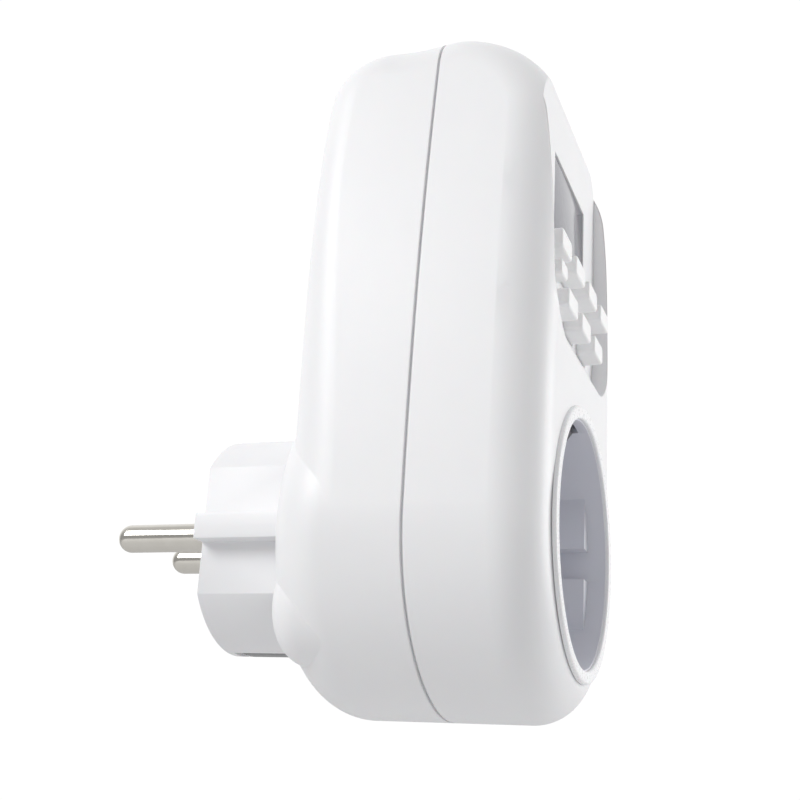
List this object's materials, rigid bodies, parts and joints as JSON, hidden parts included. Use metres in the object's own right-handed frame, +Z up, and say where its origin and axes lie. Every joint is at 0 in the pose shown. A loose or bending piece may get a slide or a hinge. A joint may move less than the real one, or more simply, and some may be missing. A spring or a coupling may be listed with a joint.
{
  "type": "plug-in power meter",
  "caption": "Plug-in power meter: white rounded housing with an earthed two-pin plug behind, a round earthed socket in front, and a display with small keys above it.",
  "frame": {"origin": "middle of the plug's face, on the plug axis", "axes": "+Z up as plugged in, +Y the way the pins point, into the wall, and the socket and display face -Y"},
  "size_m": [0.057, 0.0797, 0.114],
  "materials": {
    "housing_white": "satin moulded ABS",
    "socket_grey": "satin moulded polyamide",
    "key_white": "satin",
    "plug_white": "satin moulded polyamide",
    "pin_nickel": "polished nickel plate",
    "earth_steel": "rolled spring steel",
    "shutter_white": "satin",
    "block_black": "matte",
    "contact_brass": "rolled",
    "shunt_copper": "rolled",
    "window_grey": "clear polished",
    "lcd_grey": "polished",
    "frame_black": "matte",
    "mat_grey": "matte",
    "board_green": "solder mask",
    "capacitor_yellow": "moulded",
    "can_aluminium": "drawn can",
    "varistor_blue": "dipped",
    "fuse_glass": "clear tube",
    "chip_black": "matte",
    "crystal_steel": "drawn can",
    "cell_steel": "brushed",
    "wire_brown": "extruded",
    "wire_blue": "extruded",
    "screw_steel": "zinc plate",
    "label_silver": "matte film"
  },
  "bodies": {
    "housing": {"front_shell": "housing_white", "rear_shell": "housing_white", "plug_body": "plug_white", "pin_line": "pin_nickel", "pin_neutral": "pin_nickel", "plug_earth_strap": "earth_steel", "socket_well": "socket_grey", "socket_floor": "socket_grey", "socket_rim": "housing_white", "socket_earth_clips": "earth_steel", "earth_link": "earth_steel", "shutter_spring": "earth_steel", "contact_block": "block_black", "contact_line": "contact_brass", "contact_neutral": "contact_brass", "bus_line": "contact_brass", "bus_neutral": "contact_brass", "shunt": "shunt_copper", "bus_neutral_pin": "contact_brass", "lcd_window": "window_grey", "lcd_cell": "lcd_grey", "lcd_frame": "frame_black", "contact_strip": "mat_grey", "key_board": "board_green", "key_mat": "mat_grey", "main_board": "board_green", "film_capacitor": "capacitor_yellow", "bulk_capacitor": "can_aluminium", "varistor": "varistor_blue", "fuse": "fuse_glass", "metering_chip": "chip_black", "crystal": "crystal_steel", "backup_cells": "cell_steel", "cell_holder": "frame_black", "board_link": "frame_black", "wire_line": "wire_brown", "wire_neutral": "wire_blue", "housing_screws": "screw_steel", "rating_plate": "label_silver"},
    "key_1": {"key_1": "key_white"},
    "key_2": {"key_2": "key_white"},
    "key_3": {"key_3": "key_white"},
    "key_4": {"key_4": "key_white"},
    "key_5": {"key_5": "key_white"},
    "key_6": {"key_6": "key_white"},
    "key_7": {"key_7": "key_white"},
    "key_reset": {"key_reset": "key_white"},
    "shutter": {"shutter": "shutter_white"}
  },
  "joints": [
    {"name": "key_1_press", "type": "slide", "parent": "housing", "child": "key_1", "axis": [0, 1, 0], "range_m": [0, 0.0008], "stiffness_N_per_m": 1500, "springref_m": -0.0003},
    {"name": "key_2_press", "type": "slide", "parent": "housing", "child": "key_2", "axis": [0, 1, 0], "range_m": [0, 0.0008], "stiffness_N_per_m": 1500, "springref_m": -0.0003},
    {"name": "key_3_press", "type": "slide", "parent": "housing", "child": "key_3", "axis": [0, 1, 0], "range_m": [0, 0.0008], "stiffness_N_per_m": 1500, "springref_m": -0.0003},
    {"name": "key_4_press", "type": "slide", "parent": "housing", "child": "key_4", "axis": [0, 1, 0], "range_m": [0, 0.0008], "stiffness_N_per_m": 1500, "springref_m": -0.0003},
    {"name": "key_5_press", "type": "slide", "parent": "housing", "child": "key_5", "axis": [0, 1, 0], "range_m": [0, 0.0008], "stiffness_N_per_m": 1500, "springref_m": -0.0003},
    {"name": "key_6_press", "type": "slide", "parent": "housing", "child": "key_6", "axis": [0, 1, 0], "range_m": [0, 0.0008], "stiffness_N_per_m": 1500, "springref_m": -0.0003},
    {"name": "key_7_press", "type": "slide", "parent": "housing", "child": "key_7", "axis": [0, 1, 0], "range_m": [0, 0.0008], "stiffness_N_per_m": 1500, "springref_m": -0.0003},
    {"name": "key_reset_press", "type": "slide", "parent": "housing", "child": "key_reset", "axis": [0, 1, 0], "range_m": [0, 0.0008], "stiffness_N_per_m": 1500, "springref_m": -0.0003},
    {"name": "shutter_turn", "type": "hinge", "parent": "housing", "child": "shutter", "pos_m": [0, -0.0375, 0], "axis": [0, 1, 0], "range_deg": [0, 32], "stiffness_Nm_per_rad": 0.004, "springref_deg": -17.19}
  ]
}
